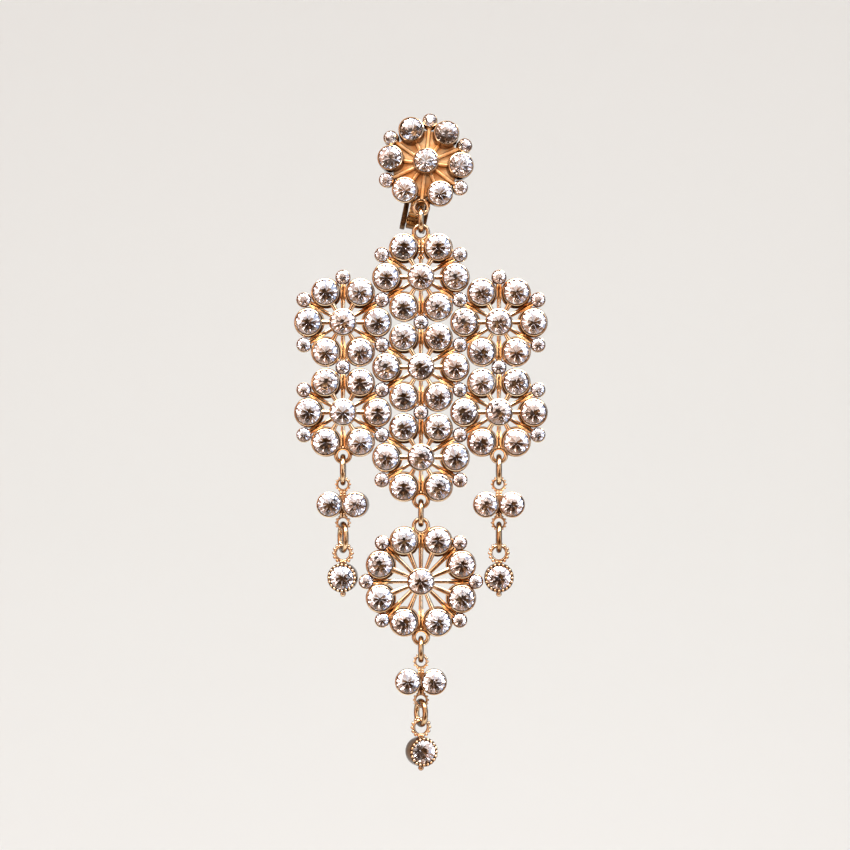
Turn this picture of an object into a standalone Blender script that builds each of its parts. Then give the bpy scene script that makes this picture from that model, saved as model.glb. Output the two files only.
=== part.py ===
"""Chandelier earring, hanging as it is worn: metres, +X right, +Y to its back, +Z up.

The origin is the middle of the stud's flat back, which the clip presses on. Every setting is
drawn flat first, x right, y up and z to the front, and then stood upright facing -Y.
"""
import math
from collections import namedtuple

import bmesh
import bpy
from mathutils import Matrix, Vector

MM = 0.001

Cup = namedtuple("Cup", "diameter rim front back sides")
Loop = namedtuple("Loop", "hole wire")

# Bezel cups: outer diameter, rim width, height in front of and behind the web, and sides
PETAL_DIAMETER = 3.85 * MM
PETAL_RIM = 0.22 * MM
PETAL_FRONT = 1.20 * MM
PETAL_BACK = 1.00 * MM
SIDE_DIAMETER = 2.10 * MM
SIDE_RIM = 0.16 * MM
SIDE_FRONT = 0.90 * MM
SIDE_BACK = 0.60 * MM
PAIR_DIAMETER = 3.60 * MM
PAIR_RIM = 0.20 * MM
PAIR_FRONT = 1.15 * MM
PAIR_BACK = 0.90 * MM
END_DIAMETER = 4.10 * MM
END_RIM = 0.38 * MM
END_FRONT = 1.30 * MM
END_BACK = 0.90 * MM
CUP_SIDES = 10
SMALL_CUP_SIDES = 8
PETAL_CUP = Cup(PETAL_DIAMETER, PETAL_RIM, PETAL_FRONT, PETAL_BACK, CUP_SIDES)
SIDE_CUP = Cup(SIDE_DIAMETER, SIDE_RIM, SIDE_FRONT, SIDE_BACK, SMALL_CUP_SIDES)
PAIR_CUP = Cup(PAIR_DIAMETER, PAIR_RIM, PAIR_FRONT, PAIR_BACK, CUP_SIDES)
END_CUP = Cup(END_DIAMETER, END_RIM, END_FRONT, END_BACK, CUP_SIDES)

# Round cut stones, as shares of the stone's diameter
TABLE_SHARE = 0.56
CROWN_SHARE = 0.15
PAVILION_SHARE = 0.43
SEAT_GAP = 0.05 * MM

# Hanging loops and the jump rings between them
PLAIN_LOOP_HOLE = 1.40 * MM
PLAIN_LOOP_WIRE = 0.60 * MM
PAIR_LOOP_HOLE = 1.30 * MM
PAIR_LOOP_WIRE = 0.50 * MM
END_LOOP_HOLE = 1.70 * MM
END_LOOP_WIRE = 0.70 * MM
PLAIN_LOOP = Loop(PLAIN_LOOP_HOLE, PLAIN_LOOP_WIRE)
PAIR_LOOP = Loop(PAIR_LOOP_HOLE, PAIR_LOOP_WIRE)
END_LOOP = Loop(END_LOOP_HOLE, END_LOOP_WIRE)
LOOP_SIDES = 10
LINK_WIRE = 0.80 * MM
LINK_PLAY = 0.08 * MM
LINK_SIDES = 12
WIRE_SIDES = 6

# From hole to hole across each jump ring
TOP_HANG = 3.55 * MM
PENDANT_HANG = 3.65 * MM
LOWER_HANG = 3.45 * MM
LOWER_END_HANG = 3.80 * MM
SIDE_HANG = 4.10 * MM
SIDE_END_HANG = 4.25 * MM

# Flowers of the main drop: the middle one, the top one and then the rest anticlockwise
FLOWERS = ("middle", "top", "upper_left", "left", "bottom", "right", "upper_right")
HANGING_FLOWERS = ("left", "bottom", "right")
PETALS = 6
FLOWER_RADIUS = 4.85 * MM
SIDE_DROP_CLEARANCE = 0.152 * MM
MAIN_LOOP_LAP = 0.235 * MM

# Round pendant
PENDANT_PETALS = 8
PENDANT_RADIUS = 6.20 * MM
PENDANT_SIDE_GAP = 0.085 * MM
PENDANT_LOOP_LAP = 0.108 * MM

# Ribs of the pierced web
RIB_INNER_WIDTH = 0.50 * MM
RIB_OUTER_WIDTH = 0.78 * MM
RIB_THICKNESS = 0.70 * MM
RIB_INSET = 0.40 * MM

# Stud: a domed flower on a round pad, leaning back and rolled a little
STUD_DIAMETER = 3.60 * MM
STUD_RIM = 0.20 * MM
STUD_FRONT = 2.60 * MM
STUD_BACK = 0.30 * MM
STUD_SIDE_FRONT = 1.55 * MM
STUD_SIDE_BACK = -0.10 * MM
STUD_CUP = Cup(STUD_DIAMETER, STUD_RIM, STUD_FRONT, STUD_BACK, CUP_SIDES)
STUD_SIDE_CUP = Cup(SIDE_DIAMETER, SIDE_RIM, STUD_SIDE_FRONT, STUD_SIDE_BACK, SMALL_CUP_SIDES)
STUD_RADIUS = 4.62 * MM
STUD_SIDE_RADIUS = 5.70 * MM
STUD_LOOP_RADIUS = 6.20 * MM
STUD_LOOP_HEIGHT = 0.60 * MM
STUD_CENTRE_RISE = 0.50 * MM
STUD_TILT = math.radians(9.0)
STUD_SIDE_TILT = math.radians(14.0)
STUD_ROLL = math.radians(-6.0)
STUD_PITCH = math.radians(-6.0)
STUD_BAR_WIDTH = 0.58 * MM
STUD_BAR_LOW = 0.20 * MM
STUD_BAR_TOP = 1.35 * MM
STUD_BACKING_RADIUS = 4.70 * MM
STUD_BACKING_LOW = -0.20 * MM
STUD_BACKING_TOP = 0.90 * MM
STUD_BASE = 1.50 * MM
PAD_RADIUS = 4.40 * MM
PAD_THICKNESS = 1.40 * MM
PAD_SIDES = 16

# Clip: a bracket of two cheeks and a pin on the stud, and a lever with a round paddle
CLIP_GAP = 5.00 * MM
CLIP_ROLL = math.radians(12.0)
HINGE_DROP = 7.90 * MM
HINGE_BACK = 1.90 * MM
CHEEK_THICKNESS = 0.70 * MM
CHEEK_RADIUS = 1.50 * MM
CHEEK_ROOT_HIGH = 3.40 * MM
CHEEK_ROOT_LOW = 4.70 * MM
CHEEK_ROOT_DEPTH = 0.60 * MM
CHEEK_ROOT_BACK = 0.20 * MM
CHEEK_ARC_START = math.radians(100.0)
CHEEK_ARC_STEP = math.radians(26.0)
CHEEK_ARC_POINTS = 11
LEVER_WIDTH = 2.00 * MM
LEVER_PLAY = 0.10 * MM
LEVER_THICKNESS = 0.90 * MM
EYE_RADIUS = 1.20 * MM
EYE_WIDTH = 1.96 * MM
PIN_RADIUS = 0.50 * MM
PIN_PLAY = 0.10 * MM
PADDLE_RADIUS = 4.00 * MM
PADDLE_THICKNESS = 1.20 * MM
PIN_SIDES = 12

# Lever's path: share of the way from hinge to paddle, and share of the hinge's drop
LEVER_PATH = (
    (0.00, 0.00),
    (0.42, -0.05),
    (0.78, 0.03),
    (0.96, 0.20),
    (1.00, 0.42),
    (1.00, 0.66),
    (1.00, 0.90),
)

# Pair pieces and end drops
PAIR_GAP = 0.04 * MM
PAIR_LOOP_UP = 2.85 * MM
PAIR_LOOP_DOWN = 2.55 * MM
PAIR_BRIDGE_WIDTH = 1.10 * MM
END_LOOP_UP = 3.40 * MM
END_BEAD_DOWN = 2.30 * MM
END_BEAD_RADIUS = 0.42 * MM

# How far the small drops have turned about the vertical on their rings
LEFT_PAIR_TURN = math.radians(-6.0)
LEFT_LINK_TURN = math.radians(14.0)
LEFT_END_TURN = math.radians(-6.0)
LOWER_LINK_TURN = math.radians(22.0)
LOWER_END_TURN = math.radians(20.0)

WELD = 0.0001 * MM
FLAT_ANGLE = math.radians(0.5)
FACE = Matrix.Rotation(math.radians(90.0), 4, "X")
SIDE_VIEW = Matrix(((0, 0, 1, 0), (1, 0, 0, 0), (0, 1, 0, 0), (0, 0, 0, 1)))

GOLD = (0.79, 0.47, 0.19, 1.0)
GOLD_ROUGHNESS = 0.16
CRYSTAL = (0.86, 0.88, 0.92, 1.0)
CRYSTAL_ROUGHNESS = 0.03


def new_collection(name):
    collection = bpy.data.collections.new(name)
    bpy.context.scene.collection.children.link(collection)
    return collection


def clear_scene():
    for obj in list(bpy.data.objects):
        bpy.data.objects.remove(obj, do_unlink=True)


def take_mesh(obj):
    """Evaluated mesh of a helper object, which is then removed."""
    bpy.context.view_layer.update()
    depsgraph = bpy.context.evaluated_depsgraph_get()
    mesh = bpy.data.meshes.new_from_object(obj.evaluated_get(depsgraph))
    bpy.data.objects.remove(obj, do_unlink=True)
    return mesh


def helper(mesh):
    obj = bpy.data.objects.new("helper", mesh)
    bpy.context.scene.collection.objects.link(obj)
    return obj


def tidy(mesh):
    """Weld a mesh, merge its flat faces and point its faces outward."""
    bm = bmesh.new()
    bm.from_mesh(mesh)
    bmesh.ops.remove_doubles(bm, verts=bm.verts, dist=WELD)
    bmesh.ops.dissolve_limit(bm, angle_limit=FLAT_ANGLE, verts=bm.verts, edges=bm.edges)
    bmesh.ops.recalc_face_normals(bm, faces=bm.faces)
    bm.to_mesh(mesh)
    bm.free()
    return mesh


def turned(profile, sides):
    """Solid of a profile of (radius, height) points, top to bottom, turned about Z.

    The middle of a flat side faces +x, so that a rib along x meets one flat side of a cup.
    """
    mesh = bpy.data.meshes.new("profile")
    points = [(radius, 0.0, height) for radius, height in profile]
    edges = [(i, i + 1) for i in range(len(points) - 1)]
    mesh.from_pydata(points, edges, [])
    obj = helper(mesh)
    screw = obj.modifiers.new("turn", "SCREW")
    screw.steps = sides
    screw.render_steps = sides
    screw.use_merge_vertices = True
    screw.merge_threshold = WELD
    solid = tidy(take_mesh(obj))
    solid.transform(Matrix.Rotation(math.pi / sides, 4, "Z"))
    return solid


def cylinder(radius, low, high, sides):
    return turned([(0.0, high), (radius, high), (radius, low), (0.0, low)], sides)


def plate(outline, thickness):
    """Flat solid of an outline in the xy plane, centred on z = 0."""
    curve = bpy.data.curves.new("outline", "CURVE")
    curve.dimensions = "2D"
    curve.fill_mode = "BOTH"
    curve.extrude = thickness / 2
    spline = curve.splines.new("POLY")
    spline.points.add(len(outline) - 1)
    for point, (x, y) in zip(spline.points, outline):
        point.co = (x, y, 0.0, 1.0)
    spline.use_cyclic_u = True
    return tidy(take_mesh(helper(curve)))


def joined(parts):
    """One mesh of (mesh, matrix) parts that don't touch."""
    bm = bmesh.new()
    for mesh, matrix in parts:
        first = len(bm.verts)
        bm.from_mesh(mesh)
        bm.verts.ensure_lookup_table()
        bmesh.ops.transform(bm, matrix=matrix, verts=bm.verts[first:])
    mesh = bpy.data.meshes.new("joined")
    bm.to_mesh(mesh)
    bm.free()
    return mesh


def combine(base, others, operation):
    """Union or difference of a mesh with other meshes, one after another."""
    body = helper(base)
    tools = [helper(other) for other in others]
    for tool in tools:
        boolean = body.modifiers.new(operation.lower(), "BOOLEAN")
        boolean.operation = operation
        boolean.solver = "EXACT"
        boolean.object = tool
    mesh = take_mesh(body)
    for tool in tools:
        bpy.data.objects.remove(tool, do_unlink=True)
    return tidy(mesh)


def fused(base, *others):
    return combine(base, others, "UNION")


def torus(loop, sides):
    """Round loop with its hole along z, as a turned circle of wire."""
    middle = (loop.hole + loop.wire) / 2
    turn = 2 * math.pi / WIRE_SIDES
    profile = [
        (middle + loop.wire / 2 * math.cos(i * turn), -loop.wire / 2 * math.sin(i * turn))
        for i in range(WIRE_SIDES + 1)
    ]
    return turned(profile, sides)


def stone_diameter(cup):
    """The stone sits inside the rim with the seat's gap all round its pavilion."""
    inner = cup.diameter / 2 - cup.rim
    return 2 * (inner - 2 * SEAT_GAP)


def stone_mesh(cup):
    """Cut stone of a cup: flat table, crown facets, sharp girdle and pavilion to a culet."""
    diameter = stone_diameter(cup)
    girdle = cup.front - SEAT_GAP
    profile = [
        (0.0, girdle + CROWN_SHARE * diameter),
        (TABLE_SHARE * diameter / 2, girdle + CROWN_SHARE * diameter),
        (diameter / 2, girdle),
        (0.0, girdle - PAVILION_SHARE * diameter),
    ]
    return turned(profile, cup.sides)


def open_cup(cup):
    """Bezel cup with the cone-shaped seat of a loose stone."""
    inner = cup.diameter / 2 - cup.rim
    profile = [
        (0.0, cup.front - 2 * PAVILION_SHARE * inner),
        (inner, cup.front),
        (cup.diameter / 2, cup.front),
        (cup.diameter / 2, -cup.back),
        (0.0, -cup.back),
    ]
    return turned(profile, cup.sides)


def filled_cup(cup):
    """Bezel cup with the crown of its fixed stone."""
    inner = cup.diameter / 2 - cup.rim
    table = cup.front + CROWN_SHARE * 2 * inner
    profile = [
        (0.0, table),
        (TABLE_SHARE * inner, table),
        (inner, cup.front),
        (cup.diameter / 2, cup.front),
        (cup.diameter / 2, -cup.back),
        (0.0, -cup.back),
    ]
    return turned(profile, cup.sides)


def polar(radius, angle, height=0.0):
    return Vector((radius * math.cos(angle), radius * math.sin(angle), height))


def at(radius, angle, height=0.0, tilt=0.0):
    """Place on a circle, turned to its angle and tilted outward."""
    place = Matrix.Translation(polar(radius, angle, height))
    turn = Matrix.Rotation(angle, 4, "Z")
    return place @ turn @ Matrix.Rotation(tilt, 4, "Y")


def rib(start, end, inner_width, outer_width, low, high):
    """Straight rib along +x that widens from start to end."""
    outline = [
        (start, -inner_width / 2),
        (end, -outer_width / 2),
        (end, outer_width / 2),
        (start, inner_width / 2),
    ]
    mesh = plate(outline, high - low)
    mesh.transform(Matrix.Translation((0.0, 0.0, (low + high) / 2)))
    return mesh


def web_rib(end):
    start = PETAL_DIAMETER / 2 - RIB_INSET
    half = RIB_THICKNESS / 2
    return rib(start, end, RIB_INNER_WIDTH, RIB_OUTER_WIDTH, -half, half)


def sixth(index):
    return index * 2 * math.pi / PETALS


def petal_end(ring_radius):
    """A short rib ends just inside the wall of its petal."""
    return ring_radius - PETAL_DIAMETER / 2 + RIB_INSET


def loop_middle(loop):
    return (loop.hole + loop.wire) / 2


def points_up(angle):
    return math.isclose(math.sin(angle), 1.0)


def points_down(angle):
    return math.isclose(math.sin(angle), -1.0)


def nested_radius(ring_radius, petals, radius, gap):
    """Radius at which a round piece sits between two petals, a gap from the wall of each."""
    half = math.pi / petals
    reach = PETAL_DIAMETER / 2 + radius + gap
    beside = ring_radius * math.sin(half)
    return ring_radius * math.cos(half) + math.sqrt(reach**2 - beside**2)


def main_loop_radius():
    outer = PLAIN_LOOP_HOLE / 2 + PLAIN_LOOP_WIRE
    return nested_radius(FLOWER_RADIUS, PETALS, outer, -MAIN_LOOP_LAP)


def pendant_loop_radius():
    outer = PLAIN_LOOP_HOLE / 2 + PLAIN_LOOP_WIRE
    return nested_radius(PENDANT_RADIUS, PENDANT_PETALS, outer, -PENDANT_LOOP_LAP)


def pendant_side_radius():
    return nested_radius(PENDANT_RADIUS, PENDANT_PETALS, SIDE_DIAMETER / 2, PENDANT_SIDE_GAP)


def flower_spacing():
    """The side flowers stand as far out as lets their drops hang clear of the pendant."""
    pendant_edge = pendant_side_radius() + SIDE_DIAMETER / 2
    side_drop = pendant_edge + SIDE_DROP_CLEARANCE + END_DIAMETER / 2
    return side_drop / math.cos(math.pi / PETALS)


def pair_spacing():
    return PAIR_DIAMETER + PAIR_GAP


def main_flower_centres():
    """Flowers by name: a hexagon about the middle one, with one at the top and the bottom."""
    centres = {}
    for number, name in enumerate(FLOWERS):
        around = polar(flower_spacing(), math.pi / 2 + sixth(number - 1))
        centres[name] = around if number else Vector((0.0, 0.0, 0.0))
    return centres


def main_loops():
    """Middles of the main drop's loops, by name."""
    centres = main_flower_centres()
    loops = {"top": centres["top"] + Vector((0.0, flower_spacing() / 2, 0.0))}
    for name in HANGING_FLOWERS:
        loops[name] = centres[name] - Vector((0.0, main_loop_radius(), 0.0))
    return loops


def main_side_places(loops):
    """Places of the small stones, each shared by two flowers or standing at the edge."""
    places = []
    for centre in main_flower_centres().values():
        for index in range(PETALS):
            place = centre + polar(flower_spacing() / 2, math.pi / 6 + sixth(index))
            near_loop = any((place - loop).length < SIDE_DIAMETER / 2 for loop in loops)
            taken = any((place - other).length < SIDE_DIAMETER / 2 for other in places)
            if not near_loop and not taken:
                places.append(place)
    return places


def main_setting():
    """Seven flowers, small stones between them, ribs through the open web and four loops."""
    loops = main_loops()
    petal = filled_cup(PETAL_CUP)
    centre_cup = open_cup(PETAL_CUP)
    side = filled_cup(SIDE_CUP)
    loop = torus(PLAIN_LOOP, LOOP_SIDES)
    short = web_rib(petal_end(FLOWER_RADIUS))
    long = web_rib(flower_spacing() / 2 - RIB_INSET)
    to_top = web_rib(flower_spacing() / 2 - loop_middle(PLAIN_LOOP))
    to_loop = web_rib(main_loop_radius() - loop_middle(PLAIN_LOOP))
    cups = []
    ribs = []
    for flower, centre in main_flower_centres().items():
        frame = Matrix.Translation(centre)
        cups.append((centre_cup, frame))
        for index in range(PETALS):
            cups.append((petal, frame @ at(FLOWER_RADIUS, sixth(index))))
            ribs.append((short, frame @ Matrix.Rotation(sixth(index), 4, "Z")))
            gap_angle = math.pi / 6 + sixth(index)
            gap_rib = long
            if flower == "top" and points_up(gap_angle):
                gap_rib = to_top
            if flower in HANGING_FLOWERS and points_down(gap_angle):
                gap_rib = to_loop
            ribs.append((gap_rib, frame @ Matrix.Rotation(gap_angle, 4, "Z")))
    for place in main_side_places(loops.values()):
        cups.append((side, Matrix.Translation(place)))
    rings = [(loop, Matrix.Translation(place)) for place in loops.values()]
    return fused(joined(cups), joined(ribs), joined(rings))


def pendant_setting():
    """Eight petals round a centre cup, six small stones, ribs and two loops."""
    petal = open_cup(PETAL_CUP)
    side = filled_cup(SIDE_CUP)
    loop = torus(PLAIN_LOOP, LOOP_SIDES)
    short = web_rib(petal_end(PENDANT_RADIUS))
    long = web_rib(pendant_side_radius() - RIB_INSET)
    to_loop = web_rib(pendant_loop_radius() - loop_middle(PLAIN_LOOP))
    cups = [(petal, Matrix.Identity(4))]
    ribs = []
    rings = []
    for index in range(PENDANT_PETALS):
        gap_angle = 2 * math.pi * index / PENDANT_PETALS
        petal_angle = gap_angle + math.pi / PENDANT_PETALS
        cups.append((petal, at(PENDANT_RADIUS, petal_angle)))
        ribs.append((short, Matrix.Rotation(petal_angle, 4, "Z")))
        if points_up(gap_angle) or points_down(gap_angle):
            ribs.append((to_loop, Matrix.Rotation(gap_angle, 4, "Z")))
            rings.append((loop, at(pendant_loop_radius(), gap_angle)))
        else:
            ribs.append((long, Matrix.Rotation(gap_angle, 4, "Z")))
            cups.append((side, at(pendant_side_radius(), gap_angle)))
    return fused(joined(cups), joined(ribs), joined(rings))


def pair_setting():
    """Two cups side by side on a narrow bridge that ends in a loop above and below."""
    cup = open_cup(PAIR_CUP)
    loop = torus(PAIR_LOOP, LOOP_SIDES)
    half = pair_spacing() / 2
    cups = [(cup, Matrix.Translation((side * half, 0.0, 0.0))) for side in (-1, 1)]
    reach = loop_middle(PAIR_LOOP)
    bridge = rib(
        -PAIR_LOOP_DOWN + reach,
        PAIR_LOOP_UP - reach,
        PAIR_BRIDGE_WIDTH,
        PAIR_BRIDGE_WIDTH,
        -RIB_THICKNESS / 2,
        RIB_THICKNESS / 2,
    )
    bridge.transform(Matrix.Rotation(math.pi / 2, 4, "Z"))
    rings = [
        (loop, Matrix.Translation((0.0, PAIR_LOOP_UP, 0.0))),
        (loop, Matrix.Translation((0.0, -PAIR_LOOP_DOWN, 0.0))),
    ]
    return fused(joined(cups), bridge, joined(rings))


def end_setting():
    """One wide cup with a loop above and a small bead below."""
    loop = torus(END_LOOP, LOOP_SIDES)
    loop.transform(Matrix.Translation((0.0, END_LOOP_UP, 0.0)))
    steps = LOOP_SIDES // 2
    profile = [
        (
            END_BEAD_RADIUS * math.sin(math.pi * i / steps),
            END_BEAD_RADIUS * math.cos(math.pi * i / steps),
        )
        for i in range(steps + 1)
    ]
    bead = turned(profile, LOOP_SIDES)
    bead.transform(Matrix.Translation((0.0, -END_BEAD_DOWN, 0.0)))
    return fused(open_cup(END_CUP), loop, bead)


def stud_flower():
    """Frame of the stud's domed flower on its pad, rolled and pitched."""
    roll = Matrix.Rotation(STUD_ROLL, 4, "Z")
    lift = Matrix.Translation((0.0, 0.0, STUD_BASE))
    return FACE @ roll @ lift @ Matrix.Rotation(STUD_PITCH, 4, "X")


def stud_cup_places():
    """Frames of the stud's seven cups in its flower."""
    places = [Matrix.Translation((0.0, 0.0, STUD_CENTRE_RISE))]
    for index in range(PETALS):
        places.append(at(STUD_RADIUS, sixth(index), 0.0, STUD_TILT))
    return places


def clip_frame():
    """Side view of the clip: x to the back, y up, z across the clip."""
    return Matrix.Rotation(CLIP_ROLL, 4, "Y") @ SIDE_VIEW


def cheek():
    """One cheek of the clip's bracket, from the pad down and back to its round end."""
    arc = [CHEEK_ARC_START - CHEEK_ARC_STEP * i for i in range(CHEEK_ARC_POINTS)]
    outline = [
        (-CHEEK_ROOT_DEPTH, -CHEEK_ROOT_HIGH),
        (-CHEEK_ROOT_BACK, -CHEEK_ROOT_HIGH),
        (-CHEEK_ROOT_BACK, -CHEEK_ROOT_LOW),
    ]
    for angle in arc:
        u = HINGE_BACK + CHEEK_RADIUS * math.cos(angle)
        v = -HINGE_DROP + CHEEK_RADIUS * math.sin(angle)
        outline.append((u, v))
    outline.append((-CHEEK_ROOT_DEPTH, -CHEEK_ROOT_LOW))
    return plate(outline, CHEEK_THICKNESS)


def stud_setting():
    """Domed flower, backing, pad, hanging loop and the clip's bracket, soldered together."""
    flower = stud_flower()
    cup = open_cup(STUD_CUP)
    side = filled_cup(STUD_SIDE_CUP)
    cups = [(cup, flower @ place) for place in stud_cup_places()]
    start = STUD_DIAMETER / 2 - RIB_INSET
    width = STUD_BAR_WIDTH
    ends = {
        "petal": STUD_RADIUS - STUD_DIAMETER / 2 + RIB_INSET,
        "side": STUD_SIDE_RADIUS - RIB_INSET,
        "loop": STUD_LOOP_RADIUS - loop_middle(PLAIN_LOOP),
    }
    bars = {
        name: rib(start, end, width, width, STUD_BAR_LOW, STUD_BAR_TOP)
        for name, end in ends.items()
    }
    ribs = []
    for index in range(PETALS):
        gap_angle = math.pi / 6 + sixth(index)
        ribs.append((bars["petal"], flower @ Matrix.Rotation(sixth(index), 4, "Z")))
        if points_down(gap_angle):
            ribs.append((bars["loop"], flower @ Matrix.Rotation(gap_angle, 4, "Z")))
        else:
            ribs.append((bars["side"], flower @ Matrix.Rotation(gap_angle, 4, "Z")))
            cups.append((side, flower @ at(STUD_SIDE_RADIUS, gap_angle, 0.0, STUD_SIDE_TILT)))
    loop = torus(PLAIN_LOOP, LOOP_SIDES)
    loop.transform(flower @ Matrix.Translation((0.0, -STUD_LOOP_RADIUS, STUD_LOOP_HEIGHT)))
    backing = cylinder(STUD_BACKING_RADIUS, STUD_BACKING_LOW, STUD_BACKING_TOP, PAD_SIDES)
    backing.transform(flower)
    pad = cylinder(PAD_RADIUS, 0.0, PAD_THICKNESS, PAD_SIDES)
    pad.transform(FACE)
    offset = LEVER_WIDTH / 2 + LEVER_PLAY + CHEEK_THICKNESS / 2
    cheeks = joined(
        [(cheek(), clip_frame() @ Matrix.Translation((0.0, 0.0, s * offset))) for s in (-1, 1)]
    )
    pin = cylinder(PIN_RADIUS, -offset, offset, PIN_SIDES)
    pin.transform(clip_frame() @ Matrix.Translation((HINGE_BACK, -HINGE_DROP, 0.0)))
    body = fused(joined(cups), joined(ribs), backing)
    return fused(body, pad, loop, cheeks, pin)


def lever_outline():
    """Outline of the lever's strip, half its thickness to each side of its path."""
    reach = CLIP_GAP + PADDLE_THICKNESS / 2 - HINGE_BACK
    path = [
        Vector((HINGE_BACK + along * reach, -HINGE_DROP + up * HINGE_DROP))
        for along, up in LEVER_PATH
    ]
    near = []
    far = []
    for index, point in enumerate(path):
        before = path[max(index - 1, 0)]
        after = path[min(index + 1, len(path) - 1)]
        along = (after - before).normalized()
        across = Vector((-along.y, along.x)) * LEVER_THICKNESS / 2
        near.append(tuple(point + across))
        far.append(tuple(point - across))
    return near + far[::-1]


def clip_lever():
    """Curved strip with an eye on the bracket's pin and a round paddle behind the stud."""
    strip = plate(lever_outline(), LEVER_WIDTH)
    hinge = Matrix.Translation((HINGE_BACK, -HINGE_DROP, 0.0))
    eye = cylinder(EYE_RADIUS, -EYE_WIDTH / 2, EYE_WIDTH / 2, PIN_SIDES)
    eye.transform(hinge)
    paddle = cylinder(PADDLE_RADIUS, 0.0, PADDLE_THICKNESS, PAD_SIDES)
    to_the_back = Matrix.Rotation(math.radians(90.0), 4, "Y")
    paddle.transform(Matrix.Translation((CLIP_GAP, 0.0, 0.0)) @ to_the_back)
    bore = cylinder(PIN_RADIUS + PIN_PLAY, -LEVER_WIDTH, LEVER_WIDTH, PIN_SIDES)
    bore.transform(hinge)
    return combine(fused(strip, eye, paddle), [bore], "DIFFERENCE")


def wire_offset(loop):
    """From the middle of a loop's hole to the wire that hangs in it."""
    return loop.hole / 2 - LINK_WIRE / 2 - LINK_PLAY


def link_mesh(hang, upper_loop, lower_loop):
    """Jump ring in the xy plane between two holes a given distance apart."""
    middle = hang - wire_offset(upper_loop) - wire_offset(lower_loop)
    return torus(Loop(middle - LINK_WIRE, LINK_WIRE), LINK_SIDES)


def link_centre(upper_hole, hang, upper_loop, lower_loop):
    drop = (hang + wire_offset(upper_loop) - wire_offset(lower_loop)) / 2
    return upper_hole - Vector((0.0, 0.0, drop))


def upright(place, turn=0.0):
    return Matrix.Translation(place) @ Matrix.Rotation(turn, 4, "Z") @ FACE


def edge_on(place, turn=0.0):
    return Matrix.Translation(place) @ Matrix.Rotation(turn, 4, "Z") @ SIDE_VIEW


def metal(name):
    material = bpy.data.materials.new(name + "_gold")
    material.use_nodes = True
    shader = material.node_tree.nodes["Principled BSDF"]
    shader.inputs["Base Color"].default_value = GOLD
    shader.inputs["Metallic"].default_value = 1.0
    shader.inputs["Roughness"].default_value = GOLD_ROUGHNESS
    material.diffuse_color = GOLD
    return material


def crystal(name):
    material = bpy.data.materials.new(name + "_crystal")
    material.use_nodes = True
    shader = material.node_tree.nodes["Principled BSDF"]
    shader.inputs["Base Color"].default_value = CRYSTAL
    shader.inputs["Metallic"].default_value = 0.0
    shader.inputs["Roughness"].default_value = CRYSTAL_ROUGHNESS
    material.diffuse_color = CRYSTAL
    return material


def pivot(name, place, parent, collection):
    """Empty on a moving piece's axis, which carries its pieces."""
    empty = bpy.data.objects.new(name, None)
    empty.empty_display_size = MM
    collection.objects.link(empty)
    empty.parent = parent
    bpy.context.view_layer.update()
    empty.matrix_world = Matrix.Translation(place)
    bpy.context.view_layer.update()
    return empty


def piece(name, mesh, matrix, material, parent, collection):
    obj = bpy.data.objects.new(name, mesh)
    collection.objects.link(obj)
    obj.parent = parent
    bpy.context.view_layer.update()
    obj.matrix_world = matrix
    obj.data.materials.clear()
    obj.data.materials.append(material(name))
    return obj


def hang_pair(prefix, hole, hang, end_hang, turns, meshes, parent, collection):
    """Small drop of a pair of stones and an end stone, hanging from a loop's hole."""
    pair_turn, link_turn, end_turn = turns
    pair_hole = hole - Vector((0.0, 0.0, hang))
    pair_centre = pair_hole - Vector((0.0, 0.0, PAIR_LOOP_UP))
    end_top = pair_centre - Vector((0.0, 0.0, PAIR_LOOP_DOWN))
    end_hole = end_top - Vector((0.0, 0.0, end_hang))
    end_centre = end_hole - Vector((0.0, 0.0, END_LOOP_UP))
    first = link_mesh(hang, PLAIN_LOOP, PAIR_LOOP)
    second = link_mesh(end_hang, PAIR_LOOP, END_LOOP)
    place = edge_on(link_centre(hole, hang, PLAIN_LOOP, PAIR_LOOP))
    piece(prefix + "_link", first, place, metal, parent, collection)
    frame = upright(pair_centre, pair_turn)
    piece(prefix + "_pair_setting", meshes["pair"], frame, metal, parent, collection)
    for number, side in ((1, -1), (2, 1)):
        name = prefix + "_pair_stone_%d" % number
        seat = frame @ Matrix.Translation((side * pair_spacing() / 2, 0.0, 0.0))
        piece(name, stone_mesh(PAIR_CUP), seat, crystal, parent, collection)
    place = edge_on(link_centre(end_top, end_hang, PAIR_LOOP, END_LOOP), link_turn)
    piece(prefix + "_end_link", second, place, metal, parent, collection)
    frame = upright(end_centre, end_turn)
    piece(prefix + "_end_setting", meshes["end"], frame, metal, parent, collection)
    piece(prefix + "_end_stone", stone_mesh(END_CUP), frame, crystal, parent, collection)


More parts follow.
